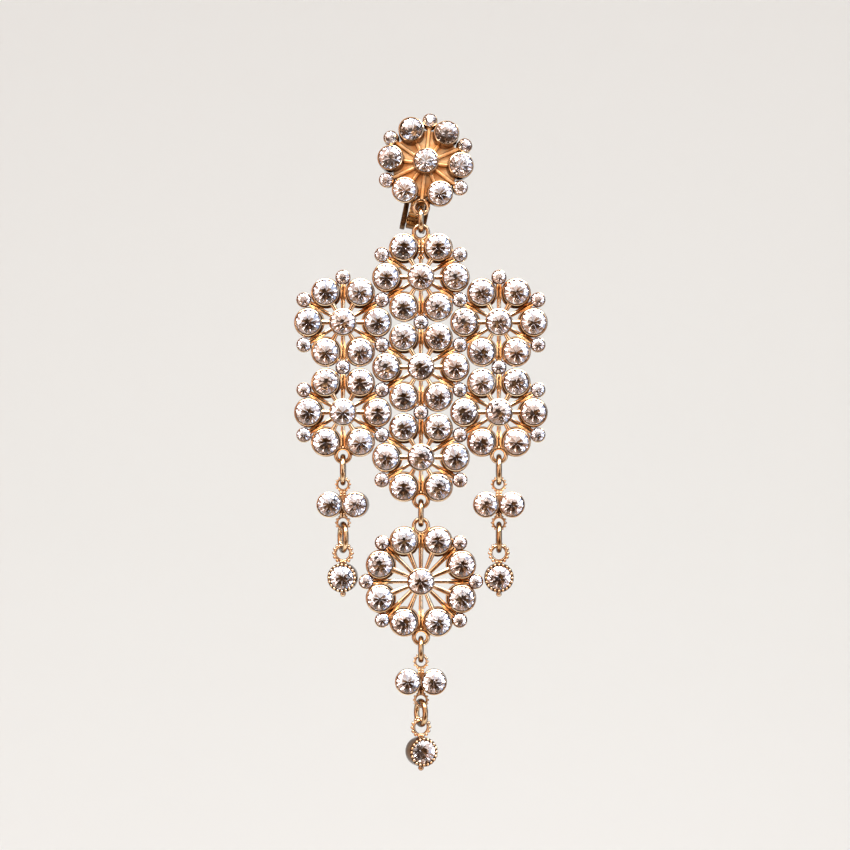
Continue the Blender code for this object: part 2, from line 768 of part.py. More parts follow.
def build():
    clear_scene()
    parts = new_collection("chandelier_earring")

    # The stud is what the rest hangs from
    back = pivot("stud_back", Vector((0.0, 0.0, 0.0)), None, parts)
    piece("stud_setting", stud_setting(), Matrix.Identity(4), metal, back, parts)
    for number, place in enumerate(stud_cup_places()):
        name = "stud_stone_%d" % number if number else "stud_stone_centre"
        piece(name, stone_mesh(STUD_CUP), stud_flower() @ place, crystal, back, parts)
    hinge = clip_frame() @ Vector((HINGE_BACK, -HINGE_DROP, 0.0))
    lever_pivot = pivot("lever_pivot", hinge, back, parts)
    piece("clip_lever", clip_lever(), clip_frame(), metal, lever_pivot, parts)

    # The top ring swings on the wire of the stud's loop
    stud_hole = stud_flower() @ Vector((0.0, -STUD_LOOP_RADIUS, STUD_LOOP_HEIGHT))
    lean = Matrix.Rotation(STUD_PITCH, 4, "X")
    wire_drop = lean @ Vector((0.0, 0.0, -loop_middle(PLAIN_LOOP)))
    swing_axis = stud_hole + wire_drop
    top_hole = Vector((stud_hole.x, swing_axis.y, stud_hole.z))
    drop_swing = pivot("drop_swing", swing_axis, back, parts)
    ring = link_mesh(TOP_HANG, PLAIN_LOOP, PLAIN_LOOP)
    place = edge_on(link_centre(top_hole, TOP_HANG, PLAIN_LOOP, PLAIN_LOOP))
    piece("top_link", ring, place, metal, drop_swing, parts)

    # The main drop sways on the lowest point of the top ring
    main_hole = top_hole - Vector((0.0, 0.0, TOP_HANG))
    sway_axis = main_hole + Vector((0.0, 0.0, wire_offset(PLAIN_LOOP)))
    drop_sway = pivot("drop_sway", sway_axis, drop_swing, parts)
    loops = main_loops()
    main_centre = main_hole - Vector((0.0, 0.0, loops["top"].y))
    main_frame = upright(main_centre)
    piece("main_setting", main_setting(), main_frame, metal, drop_sway, parts)
    for number, centre in enumerate(main_flower_centres().values(), 1):
        seat = main_frame @ Matrix.Translation(centre)
        name = "main_stone_%d" % number
        piece(name, stone_mesh(PETAL_CUP), seat, crystal, drop_sway, parts)

    # Small drops at the left and right
    meshes = {"pair": pair_setting(), "end": end_setting()}
    left_turns = (LEFT_PAIR_TURN, LEFT_LINK_TURN, LEFT_END_TURN)
    right_turns = (0.0, 0.0, 0.0)
    for prefix, turns in (("left", left_turns), ("right", right_turns)):
        hole = main_frame @ loops[prefix]
        hang_pair(prefix, hole, SIDE_HANG, SIDE_END_HANG, turns, meshes, drop_sway, parts)

    # The pendant swings on the wire of the main drop's lowest loop
    low_hole = main_frame @ loops["bottom"]
    swing = low_hole - Vector((0.0, 0.0, loop_middle(PLAIN_LOOP)))
    pendant_swing = pivot("pendant_swing", swing, drop_sway, parts)
    ring = link_mesh(PENDANT_HANG, PLAIN_LOOP, PLAIN_LOOP)
    place = edge_on(link_centre(low_hole, PENDANT_HANG, PLAIN_LOOP, PLAIN_LOOP))
    piece("pendant_link", ring, place, metal, pendant_swing, parts)
    pendant_centre = low_hole - Vector((0.0, 0.0, PENDANT_HANG + pendant_loop_radius()))
    frame = upright(pendant_centre)
    piece("pendant_setting", pendant_setting(), frame, metal, pendant_swing, parts)
    piece("pendant_stone_centre", stone_mesh(PETAL_CUP), frame, crystal, pendant_swing, parts)
    for index in range(PENDANT_PETALS):
        angle = (2 * index + 1) * math.pi / PENDANT_PETALS
        seat = frame @ at(PENDANT_RADIUS, angle)
        name = "pendant_stone_%d" % (index + 1)
        piece(name, stone_mesh(PETAL_CUP), seat, crystal, pendant_swing, parts)

    # The lowest small drop hangs from the pendant
    hole = pendant_centre - Vector((0.0, 0.0, pendant_loop_radius()))
    turns = (0.0, LOWER_LINK_TURN, LOWER_END_TURN)
    hang_pair("lower", hole, LOWER_HANG, LOWER_END_HANG, turns, meshes, pendant_swing, parts)
    bpy.context.view_layer.update()


build()
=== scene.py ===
"""Fine detail and finishes of a chandelier earring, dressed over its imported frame, in metres.

A setting is drawn flat first, x right, y up and z to the front, as its solid is, and is then stood
upright to face -Y. Where a piece hangs is read from the frame's own nodes.
"""

import math
import random
from collections import namedtuple

import bmesh
import bpy
from mathutils import Matrix, Vector


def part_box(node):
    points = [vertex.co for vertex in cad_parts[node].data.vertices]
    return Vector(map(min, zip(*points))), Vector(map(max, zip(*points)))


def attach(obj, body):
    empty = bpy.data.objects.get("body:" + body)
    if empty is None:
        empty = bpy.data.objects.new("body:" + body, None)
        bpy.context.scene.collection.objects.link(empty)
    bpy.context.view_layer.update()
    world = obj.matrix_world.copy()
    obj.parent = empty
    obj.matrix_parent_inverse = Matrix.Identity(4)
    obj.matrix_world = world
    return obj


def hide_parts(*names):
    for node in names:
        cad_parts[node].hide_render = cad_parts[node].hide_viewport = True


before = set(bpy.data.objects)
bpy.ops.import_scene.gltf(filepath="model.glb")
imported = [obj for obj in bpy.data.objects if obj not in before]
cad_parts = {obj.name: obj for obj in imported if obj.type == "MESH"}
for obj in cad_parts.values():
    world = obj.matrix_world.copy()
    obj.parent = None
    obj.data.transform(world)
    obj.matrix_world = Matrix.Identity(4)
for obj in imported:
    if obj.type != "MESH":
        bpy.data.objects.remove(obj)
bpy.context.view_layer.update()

MM = 0.001
WELD = 0.002 * MM
CREASE = math.radians(32.0)
SOFT_EDGE = 0.10 * MM
FACE = Matrix.Rotation(math.radians(90.0), 4, "X")
SIDE_VIEW = Matrix(((0, 0, 1, 0), (1, 0, 0, 0), (0, 1, 0, 0), (0, 0, 0, 1)))

Cup = namedtuple("Cup", "diameter rim gap front back")
Loop = namedtuple("Loop", "hole wire")

# Bezel cups: outer diameter, rim, gap round the stone, height in front of and behind the web
PETAL_CUP = Cup(3.85 * MM, 0.18 * MM, 0.07 * MM, 1.20 * MM, 1.00 * MM)
SIDE_CUP = Cup(2.10 * MM, 0.13 * MM, 0.05 * MM, 0.90 * MM, 0.60 * MM)
PAIR_CUP = Cup(3.60 * MM, 0.17 * MM, 0.07 * MM, 1.15 * MM, 0.90 * MM)
END_CUP = Cup(4.10 * MM, 0.38 * MM, 0.06 * MM, 1.30 * MM, 0.90 * MM)
STUD_CUP = Cup(3.60 * MM, 0.18 * MM, 0.07 * MM, 2.60 * MM, 0.30 * MM)
STUD_SIDE_CUP = Cup(2.10 * MM, 0.13 * MM, 0.05 * MM, 1.55 * MM, -0.10 * MM)
CUP_SEGMENTS = 32
SMALL_CUP_SEGMENTS = 20

# Brilliant cut, in shares of the girdle's radius
TABLE = 0.56
CROWN = 0.30
STAR_TIP = 0.80
GIRDLE = 0.03
PAVILION = 1.08
LOWER_TIP = 0.24
MAIN_FACETS = 8
GIRDLE_DEPTH = 0.09 * MM

# Most that a stone leans in its cup, in radians
SET_LEAN = 0.075

# Loops and jump rings
PLAIN_LOOP = Loop(1.40 * MM, 0.60 * MM)
PAIR_LOOP = Loop(1.30 * MM, 0.50 * MM)
END_LOOP = Loop(1.70 * MM, 0.70 * MM)
LINK_WIRE = 0.80 * MM
LINK_CORNERS = 12
LINK_SEGMENTS = 40
WIRE_SEGMENTS = 12
LOOP_SEGMENTS = 32
BEAD_SEGMENTS = 10
BEAD_RINGS = 6
PAIR_LOOP_BEADS = 12
PAIR_LOOP_BEAD = 0.17 * MM
END_LOOP_BEADS = 14
END_LOOP_BEAD = 0.26 * MM

# Pierced web
RIB_INNER = 0.54 * MM
RIB_OUTER = 0.84 * MM
RIB_HALF = 0.35 * MM
RIB_INSET = 0.40 * MM
GROOVE_SHARE = 0.22
GROOVE_DEPTH = 0.30 * MM

# Flat skirt at the foot of each petal's cup, wider toward the flower's middle
SKIRT_WIDTH = 0.22 * MM
SKIRT_SHIFT = 0.14 * MM
SKIRT_LOW = -0.30 * MM
SKIRT_TOP = 0.22 * MM
SKIRT_CHANNEL = 0.14 * MM

# Layout of the flowers, whose gaps between petals are counted anticlockwise from the right
PETALS = 6
UP_GAP = 1
DOWN_GAP = 4
TOP_FLOWER = 1
HANGING_FLOWERS = (3, 4, 5)
FLOWER_RADIUS = 4.85 * MM
MAIN_LOOP_RADIUS = 5.95 * MM
PENDANT_PETALS = 8
PENDANT_RADIUS = 6.20 * MM
PENDANT_SIDE_RADIUS = 7.66 * MM
PENDANT_LOOP_RADIUS = 7.75 * MM
PENDANT_LOOP_GAPS = (PENDANT_PETALS // 4, 3 * PENDANT_PETALS // 4)

# Grains in two columns below the top loop, at shares of the way to the top flower's edge
WEB_GRAIN_RADIUS = 0.24 * MM
WEB_GRAIN_OFFSET = 0.26 * MM
WEB_GRAIN_SHARES = (0.44, 0.56, 0.68)

# Stud
STUD_RADIUS = 4.62 * MM
STUD_SIDE_RADIUS = 5.70 * MM
STUD_LOOP_RADIUS = 6.20 * MM
STUD_LOOP_HEIGHT = 0.60 * MM
STUD_CENTRE_RISE = 0.50 * MM
STUD_TILT = math.radians(9.0)
STUD_SIDE_TILT = math.radians(14.0)
STUD_ROLL = math.radians(-6.0)
STUD_PITCH = math.radians(-6.0)
STUD_BASE = 1.50 * MM
BAR_WIDTH = 0.58 * MM
BAR_LOW = 0.20 * MM
BAR_TOP = 1.35 * MM
BACKING_RADIUS = 4.70 * MM
BACKING_LOW = -0.20 * MM
BACKING_TOP = 0.90 * MM
PAD_RADIUS = 4.40 * MM
PAD_THICKNESS = 1.40 * MM

# Clip, whose cheeks end in a row of corners that start and step by so many degrees
CLIP_GAP = 5.00 * MM
CLIP_ROLL = math.radians(12.0)
HINGE_DROP = 7.90 * MM
HINGE_BACK = 1.90 * MM
CHEEK_THICKNESS = 0.70 * MM
CHEEK_RADIUS = 1.50 * MM
CHEEK_ROOT_HIGH = 3.40 * MM
CHEEK_ROOT_LOW = 4.70 * MM
CHEEK_ROOT_DEPTH = 0.60 * MM
CHEEK_ROOT_BACK = 0.20 * MM
CHEEK_END_FROM = 100.0
CHEEK_END_STEP = 13.0
CHEEK_END_POINTS = 21
LEVER_WIDTH = 2.00 * MM
LEVER_PLAY = 0.10 * MM
LEVER_THICKNESS = 0.90 * MM
EYE_RADIUS = 1.20 * MM
PIN_RADIUS = 0.50 * MM
PIN_PLAY = 0.10 * MM
PADDLE_RADIUS = 4.00 * MM
PADDLE_THICKNESS = 1.20 * MM
PIN_SEGMENTS = 20
EYE_SEGMENTS = 28
DISC_SEGMENTS = 48

# Lever's path: share of the way from hinge to paddle, and share of the hinge's drop
LEVER_PATH = (
    (0.00, 0.00),
    (0.42, -0.05),
    (0.78, 0.03),
    (0.96, 0.20),
    (1.00, 0.42),
    (1.00, 0.66),
    (1.00, 0.90),
)

# Point of the smoothed path where the strip starts, at the pin inside the rolled eye
STRIP_START = 2

# Pairs and end drops
PAIR_SPACING = 3.64 * MM
PAIR_LOOP_UP = 2.85 * MM
PAIR_LOOP_DOWN = 2.55 * MM
STEM_HALF = 0.45 * MM
STEM_GRAIN_RADIUS = 0.22 * MM
STEM_GRAIN_OFFSET = 0.24 * MM
STEM_GRAIN_HEIGHTS = (-1.62 * MM, -1.30 * MM, 1.35 * MM, 1.70 * MM)
END_LOOP_UP = 3.40 * MM
END_BEAD_DOWN = 2.30 * MM
END_BEAD_RADIUS = 0.42 * MM
END_GRAINS = 20
END_GRAIN_RADIUS = 0.235 * MM
END_GRAIN_INSET = 0.22 * MM
# Depth of the end cup's top, under its grains, that is painted dark as shade
END_PAINTED_SHADE_DEPTH = 0.20 * MM

# How far each small drop's pair, lower ring and end setting hang turned, in degrees
TURNS = {
    "left": (-6.0, 14.0, -6.0),
    "right": (0.0, 0.0, 0.0),
    "lower": (0.0, 22.0, 20.0),
}

# Places among a casting's materials of its painted shade and of the stud's ground gold, painted
# lighter as light
PAINTED_SHADE = 1
GROUND = 2

# Paper sweep: half its width, its floor, front edge, wall, bend and height, in metres
SWEEP_HALF = 2.5
SWEEP_FLOOR = -0.6
SWEEP_NEAR = -0.35
SWEEP_WALL = 1.5
SWEEP_BEND = 0.5
SWEEP_HEIGHT = 2.4

# Camera: distance to the earring, width of its view there, and where it stands
CAMERA_DISTANCE = 0.4512
CAMERA_WIDTH = 0.119
CAMERA_SIDE = -0.00007
CAMERA_HEIGHT = -0.03657


def linear(code):
    """Linear colour of an sRGB hex value."""
    shares = [int(code[i : i + 2], 16) / 255 for i in (1, 3, 5)]
    return tuple(s / 12.92 if s <= 0.04045 else ((s + 0.055) / 1.055) ** 2.4 for s in shares) + (1,)


def add(tree, kind, values=None, links=None, **settings):
    """A shader node with its settings, socket values and incoming links."""
    made = tree.nodes.new("ShaderNode" + kind)
    for name, value in settings.items():
        setattr(made, name, value)
    for socket, value in (values or {}).items():
        made.inputs[socket].default_value = value
    for socket, source in (links or {}).items():
        tree.links.new(source, made.inputs[socket])
    return made


def blank_material(name):
    """A material, its node tree and its shader."""
    material = bpy.data.materials.new(name)
    material.use_nodes = True
    tree = material.node_tree
    return material, tree, tree.nodes["Principled BSDF"]


def mottle(tree, size, detail):
    """Noise fixed to the piece, in blotches about `size` metres across."""
    place = add(tree, "TexCoord").outputs["Object"]
    noise = add(tree, "TexNoise", {"Scale": 1 / size, "Detail": detail}, {"Vector": place})
    return noise.outputs["Fac"]


def remap(tree, value, start, end, low=0.0, high=1.0, kind="LINEAR"):
    """Value that goes from low to high while its source goes from start to end."""
    ends = {"From Min": start, "From Max": end, "To Min": low, "To Max": high}
    return add(tree, "MapRange", ends, {"Value": value}, interpolation_type=kind).outputs["Result"]


def ramp(tree, factor, first, last, middle=None):
    """Colour ramp through (position, sRGB hex) stops."""
    made = add(tree, "ValToRGB", links={"Fac": factor})
    stops = made.color_ramp.elements
    for stop, (position, colour) in zip(stops, (first, last)):
        stop.position = position
        stop.color = linear(colour)
    if middle:
        stops.new(middle[0]).color = linear(middle[1])
    return made.outputs["Color"]


def toned(tree, factor, source, colour):
    """Colour that goes from its source to an sRGB hex value as the factor rises."""
    made = add(tree, "Mix", {7: linear(colour)}, {0: factor, 6: source}, data_type="RGBA")
    return made.outputs[2]


def gold_finish(name, shade, face, rough, cloud, grain, depth, brown=(0.22, "#4A2F1A")):
    """Gold-plated metal whose colour and polish drift over `cloud` and ripple over `grain`.

    It is painted brown as shade where its surface turns away from view.
    """
    material, tree, shader = blank_material(name)
    shader.inputs["Metallic"].default_value = 1.0
    tint = ramp(tree, mottle(tree, cloud, 3.0), (0.38, shade), (0.62, face))
    ripple = mottle(tree, grain, 4.0)
    polish = remap(tree, ripple, 0.35, 0.65, *rough)
    bump = add(tree, "Bump", {"Strength": 0.6, "Distance": depth}, {"Height": ripple})
    normal = bump.outputs["Normal"]
    # Painted shade: brown mixed into the colour where the surface turns away from view
    turned = add(tree, "LayerWeight", {"Blend": 0.5}, {"Normal": normal}).outputs["Facing"]
    start, colour = brown
    edge = remap(tree, turned, start, 0.80, kind="SMOOTHSTEP")
    tree.links.new(toned(tree, edge, tint, colour), shader.inputs["Base Color"])
    tree.links.new(polish, shader.inputs["Roughness"])
    tree.links.new(normal, shader.inputs["Normal"])
    return material


def crystal_glass():
    """Lead crystal, cut and polished: sharp bright facets and hardly a colour of its own."""
    material, tree, shader = blank_material("cut_lead_crystal")
    shader.inputs["Transmission Weight"].default_value = 1.0
    shader.inputs["IOR"].default_value = 1.62
    shader.inputs["Specular IOR Level"].default_value = 1.0
    tint = ramp(tree, mottle(tree, 2.5 * MM, 1.0), (0.40, "#FFF6F2"), (0.60, "#F2F7FF"))
    haze = remap(tree, mottle(tree, 0.4 * MM, 3.0), 0.4, 0.7, 0.0, 0.02)
    tree.links.new(tint, shader.inputs["Base Color"])
    tree.links.new(haze, shader.inputs["Roughness"])
    return material


def stone_foil():
    """Silver foil fired on the back of a stone: a bright mirror, a little grey in places."""
    material, tree, shader = blank_material("silver_foil_backing")
    shader.inputs["Metallic"].default_value = 1.0
    shader.inputs["Roughness"].default_value = 0.04
    tint = ramp(tree, mottle(tree, 0.7 * MM, 2.0), (0.35, "#F1EEEF"), (0.65, "#FFFFFF"))
    tree.links.new(tint, shader.inputs["Base Color"])
    return material


def meshed(bm, name):
    """Mesh of a bmesh, smooth where it bends gently and creased at its edges."""
    mesh = bpy.data.meshes.new(name)
    bm.to_mesh(mesh)
    bm.free()
    mesh.shade_smooth()
    mesh.set_sharp_from_angle(angle=CREASE)
    return mesh


def turn_about_z(bm, segments):
    """Spin all that the bmesh holds once round Z and close it."""
    bmesh.ops.spin(
        bm,
        geom=bm.verts[:] + bm.edges[:],
        axis=(0.0, 0.0, 1.0),
        cent=(0.0, 0.0, 0.0),
        angle=2 * math.pi,
        steps=segments,
        use_merge=True,
    )
    bmesh.ops.remove_doubles(bm, verts=bm.verts, dist=WELD)
    bmesh.ops.recalc_face_normals(bm, faces=bm.faces)


def lathe(profile, segments, name="turned"):
    """Closed shape of a profile of (radius, height) points turned about Z."""
    bm = bmesh.new()
    corners = [bm.verts.new((radius, 0.0, height)) for radius, height in profile]
    for first, second in zip(corners, corners[1:]):
        bm.edges.new((first, second))
    turn_about_z(bm, segments)
    return meshed(bm, name)


def wire_ring(middle, wire, segments=LOOP_SEGMENTS):
    """Round wire bent to a ring about Z."""
    bm = bmesh.new()
    across = Matrix.Translation((middle, 0.0, 0.0)) @ FACE
    bmesh.ops.create_circle(bm, segments=WIRE_SEGMENTS, radius=wire / 2, matrix=across)
    turn_about_z(bm, segments)
    return meshed(bm, "wire_ring")


def bead(radius):
    """Small round grain."""
    bm = bmesh.new()
    bmesh.ops.create_uvsphere(
        bm, u_segments=BEAD_SEGMENTS, v_segments=BEAD_RINGS, radius=radius
    )
    return meshed(bm, "bead")


def raised(bm, corners, along):
    """Extrude the face through the corners along a vector, and give its far corners."""
    base = bm.faces.new([bm.verts.new(corner) for corner in corners])
    grown = bmesh.ops.extrude_face_region(bm, geom=[base])
    tips = [item for item in grown["geom"] if isinstance(item, bmesh.types.BMVert)]
    bmesh.ops.translate(bm, verts=tips, vec=along)
    return tips


def painted(mesh, index, picks=None):
    """Give a mesh's faces a material, all or those whose middle the test picks."""
    for face in mesh.polygons:
        if picks is None or picks(face.center):
            face.material_index = index
    return mesh


def prism(outline, low, high):
    """Outline of (x, y) points raised from low to high along z, with softened edges."""
    bm = bmesh.new()
    raised(bm, [(x, y, low) for x, y in outline], (0.0, 0.0, high - low))
    bmesh.ops.recalc_face_normals(bm, faces=bm.faces)
    bmesh.ops.bevel(
        bm,
        geom=[edge for edge in bm.edges if edge.calc_face_angle(0.0) > CREASE],
        offset=SOFT_EDGE,
        affect="EDGES",
        segments=2,
        profile=0.5,
        material=-1,
    )
    return meshed(bm, "prism")


def polar(radius, angle, height=0.0):
    """Point at a radius and angle about Z."""
    return Vector((radius * math.cos(angle), radius * math.sin(angle), height))


def at(radius, angle, height=0.0, tilt=0.0):
    """Place on a circle, turned to its angle and tilted outward."""
    place = Matrix.Translation(polar(radius, angle, height))
    return place @ Matrix.Rotation(angle, 4, "Z") @ Matrix.Rotation(tilt, 4, "Y")


def cup_mesh(cup, segments):
    """Bezel cup: rolled thin rim, near upright wall, seat for the stone and a soft-edged back."""
    outer = cup.diameter / 2
    inner = outer - cup.rim
    front = cup.front
    seat = front - GIRDLE_DEPTH - 0.05 * MM
    profile = [
        (0.0, -cup.back + 0.10 * MM),
        (0.55 * outer, -cup.back + 0.08 * MM),
        (0.72 * outer, -cup.back),
        (outer - 0.12 * MM, -cup.back),
        (outer - 0.02 * MM, -cup.back + 0.07 * MM),
        (outer + 0.03 * MM, -cup.back + 0.30 * MM),
        (outer + 0.03 * MM, front - 0.80 * MM),
        (outer - 0.05 * MM, front - 0.36 * MM),
        (outer - 0.05 * MM, front - 0.30 * MM),
        (outer, front - 0.22 * MM),
        (outer, front - 0.13 * MM),
        (outer - 0.10 * cup.rim, front - 0.06 * MM),
        (outer - 0.62 * cup.rim, front),
        (outer - 0.75 * cup.rim, front),
        (inner + 0.01 * MM, front - 0.03 * MM),
        (inner, front - 0.13 * MM),
        (inner, seat),
        (0.0, seat - 1.04 * inner),
    ]
    # The inner wall above the floor is painted dark as shade, a dark line round the stone
    floor = 0.15 * MM - cup.back
    reach = inner + 0.01 * MM
    return painted(
        lathe(profile, segments, "cup"),
        PAINTED_SHADE,
        lambda middle: math.hypot(middle.x, middle.y) < reach and middle.z > floor,
    )


def skirt_mesh():
    """Ring of web round the foot of a petal's cup, with a channel beside the cup painted dark as
    shade.
    """
    outer = PETAL_CUP.diameter / 2 + SKIRT_WIDTH
    inner = PETAL_CUP.diameter / 2 - SKIRT_WIDTH
    channel = PETAL_CUP.diameter / 2 + 0.02 * MM
    soft = 0.06 * MM
    profile = [
        (inner, SKIRT_TOP - SKIRT_CHANNEL),
        (channel - soft, SKIRT_TOP - SKIRT_CHANNEL),
        (channel, SKIRT_TOP - 0.5 * soft),
        (channel + 0.5 * soft, SKIRT_TOP),
        (outer - soft, SKIRT_TOP - 0.5 * soft),
        (outer, SKIRT_TOP - 2 * soft),
        (outer, SKIRT_LOW + soft),
        (outer - soft, SKIRT_LOW),
        (inner, SKIRT_LOW),
        (inner, SKIRT_TOP - SKIRT_CHANNEL),
    ]
    # The channel's faces are painted dark as shade
    return painted(
        lathe(profile, CUP_SEGMENTS, "skirt"),
        PAINTED_SHADE,
        lambda middle: math.hypot(middle.x, middle.y) < channel and middle.z > 0.0,
    )


def facet(bm, *points):
    """Grind a facet through three points given as (radius, angle, height)."""
    first, second, third = (polar(*point) for point in points)
    normal = (second - first).cross(third - first).normalized()
    if normal.dot(first) < 0:
        normal.negate()
    cut = bmesh.ops.bisect_plane(
        bm,
        geom=bm.verts[:] + bm.edges[:] + bm.faces[:],
        dist=1e-5,
        plane_co=first,
        plane_no=normal,
        clear_outer=True,
    )
    rim = [item for item in cut["geom_cut"] if isinstance(item, bmesh.types.BMEdge)]
    open_rim = [edge for edge in rim if edge.is_boundary]
    if open_rim:
        bmesh.ops.contextual_create(bm, geom=open_rim)


def brilliant():
    """Round brilliant of girdle radius 1 about the origin: glass above, foil below the girdle."""
    step = math.pi / MAIN_FACETS
    bm = bmesh.new()
    bmesh.ops.create_cone(
        bm,
        cap_ends=True,
        segments=2 * MAIN_FACETS,
        radius1=1.0,
        radius2=1.0,
        depth=2.2,
    )
    top = GIRDLE / 2
    ridge = 1 / math.cos(step)
    table_ridge = TABLE * ridge
    star_height = top + CROWN * (ridge - STAR_TIP) / (ridge - table_ridge)
    lower_height = -top - PAVILION + PAVILION * LOWER_TIP * math.cos(step)
    facet(bm, (1, 0, top + CROWN), (1, 1, top + CROWN), (0, 0, top + CROWN))
    for number in range(MAIN_FACETS):
        angle = 2 * step * number
        facet(bm, (1, angle, top), (ridge, angle + step, top), (TABLE, angle, top + CROWN))
        facet(bm, (1, angle, -top), (ridge, angle + step, -top), (0, 0, -top - PAVILION))
    for number in range(MAIN_FACETS):
        angle = 2 * step * number
        tip = (STAR_TIP, angle + step, star_height)
        facet(bm, (TABLE, angle, top + CROWN), (TABLE, angle + 2 * step, top + CROWN), tip)
        for side in (angle, angle + 2 * step):
            facet(bm, (1, side, top), (1, angle + step, top), tip)
            low = (LOWER_TIP, angle + step, lower_height)
            facet(bm, (1, side, -top), (1, angle + step, -top), low)
    bmesh.ops.recalc_face_normals(bm, faces=bm.faces)
    for face in bm.faces:
        face.material_index = 1 if face.normal.z < -0.1 else 0
    mesh = bpy.data.meshes.new("brilliant")
    bm.to_mesh(mesh)
    bm.free()
    return mesh


def rib(start, end):
    """Cast rib along +x that widens outward, with a groove down its front and a rounded back."""
    half = RIB_INNER / 2
    groove = GROOVE_SHARE * half
    section = [
        (-half, -0.6 * RIB_HALF),
        (-0.6 * half, -RIB_HALF),
        (0.6 * half, -RIB_HALF),
        (half, -0.6 * RIB_HALF),
        (half, 0.35 * RIB_HALF),
        (0.92 * half, 0.68 * RIB_HALF),
        (0.60 * half, 0.88 * RIB_HALF),
        (1.2 * groove, RIB_HALF),
        (0.8 * groove, 0.92 * RIB_HALF),
        (0.0, RIB_HALF - GROOVE_DEPTH),
        (-0.8 * groove, 0.92 * RIB_HALF),
        (-1.2 * groove, RIB_HALF),
        (-0.60 * half, 0.88 * RIB_HALF),
        (-0.92 * half, 0.68 * RIB_HALF),
        (-half, 0.35 * RIB_HALF),
    ]
    bm = bmesh.new()
    tips = raised(bm, [(start, y, z) for y, z in section], (end - start, 0.0, 0.0))
    bmesh.ops.scale(bm, verts=tips, vec=(1.0, RIB_OUTER / RIB_INNER, 1.0))
    bmesh.ops.recalc_face_normals(bm, faces=bm.faces)
    # The groove's faces are painted dark as shade
    return painted(
        meshed(bm, "rib"),
        PAINTED_SHADE,
        lambda middle: abs(middle.y) < 0.6 * groove and 0.0 < middle.z < 0.85 * RIB_HALF,
    )


def bar(start, end):
    """Half-round bar along +x on the stud's ground."""
    half = BAR_WIDTH / 2
    crown = [polar(half, math.radians(angle)) for angle in range(0, 181, 30)]
    section = [(-half, BAR_LOW - BAR_TOP + half), (half, BAR_LOW - BAR_TOP + half)]
    section += [(point.x, point.y) for point in crown]
    bm = bmesh.new()
    raised(bm, [(start, y, z + BAR_TOP - half) for y, z in section], (end - start, 0.0, 0.0))
    bmesh.ops.recalc_face_normals(bm, faces=bm.faces)
    # Painted light: the bar takes the stud ground's gold, painted lighter
    return painted(meshed(bm, "bar"), GROUND)


def loop_middle(loop):
    """Radius of the middle of a loop's wire."""
    return (loop.hole + loop.wire) / 2


def plain_loop(loop):
    """Smooth round loop."""
    return wire_ring(loop_middle(loop), loop.wire)


def beaded_loop(loop, beads, ball):
    """Thin smooth ring with a row of grains round its outer edge."""
    outer = loop.hole / 2 + loop.wire
    slim = loop.wire - ball
    parts = [(wire_ring((loop.hole + slim) / 2, slim), Matrix.Identity(4))]
    grain = bead(ball)
    for number in range(beads):
        place = polar(outer - ball, 2 * math.pi * number / beads)
        parts.append((grain, Matrix.Translation(place)))
    return parts


def stone_seat(cup, place, spin):
    """Matrix of a stone in its cup, turned about its axis and set a hair off true."""
    radius = cup.diameter / 2 - cup.rim - cup.gap
    lean = Matrix.Rotation(spin.uniform(-SET_LEAN, SET_LEAN), 4, "X")
    lean = lean @ Matrix.Rotation(spin.uniform(-SET_LEAN, SET_LEAN), 4, "Y")
    turn = Matrix.Rotation(spin.uniform(0.0, 2 * math.pi / MAIN_FACETS), 4, "Z")
    height = Matrix.Translation((0.0, 0.0, cup.front - GIRDLE_DEPTH))
    return place @ height @ lean @ turn @ Matrix.Scale(radius, 4)


def joined(name, parts):
    """One mesh of (mesh, matrix) parts."""
    bm = bmesh.new()
    for mesh, matrix in parts:
        first = len(bm.verts)
        bm.from_mesh(mesh)
        bm.verts.ensure_lookup_table()
        bmesh.ops.transform(bm, matrix=matrix, verts=bm.verts[first:])
    mesh = bpy.data.meshes.new(name)
    bm.to_mesh(mesh)
    bm.free()
    return mesh


def dress(name, parts, materials, body, nodes):
    """A finished piece in place of its nodes, riding on its body."""
    mesh = joined(name, parts)
    for material in materials:
        mesh.materials.append(material)
    piece = bpy.data.objects.new(name, mesh)
    bpy.context.scene.collection.objects.link(piece)
    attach(piece, body)
    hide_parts(*nodes)


def box_centre(node):
    """Middle of the box round a solid."""
    low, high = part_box(node)
    return (low + high) / 2


def upright(place, turn=0.0):
    """Matrix that stands a flat setting up at a place, turned about the vertical."""
    return Matrix.Translation(place) @ Matrix.Rotation(turn, 4, "Z") @ FACE


# The castings: pale peach gold with soft lights, painted brown as shade along every edge that turns
# away
CAST = gold_finish(
    "gold_plated_casting", "#CEA278", "#F4D6B0", (0.08, 0.20), 2.6 * MM, 0.35 * MM, 0.010 * MM
)
# The jump rings: a bright polished streak between two edges painted dark brown as shade
WIRE = gold_finish(
    "gold_plated_drawn_wire",
    "#BD9265",
    "#E9CBA2",
    (0.05, 0.13),
    1.8 * MM,
    0.25 * MM,
    0.006 * MM,
    (0.12, "#2C1B0E"),
)
# The clip: rougher gold of rolled strip, painted darker and browner as shade
SPRING = gold_finish(
    "gold_plated_spring_strip_painted_shade", "#7E5B39", "#B48C5C", (0.18, 0.34), 3.0 * MM, 0.30 * MM, 0.010 * MM
)
# The stud's ground and bars: rough warm orange gold with no sharp reflections, painted lighter as
# light
SATIN = gold_finish(
    "satin_gold_ground_painted_light", "#F4B672", "#FFDCAA", (0.58, 0.78), 1.6 * MM, 0.20 * MM, 0.012 * MM
)
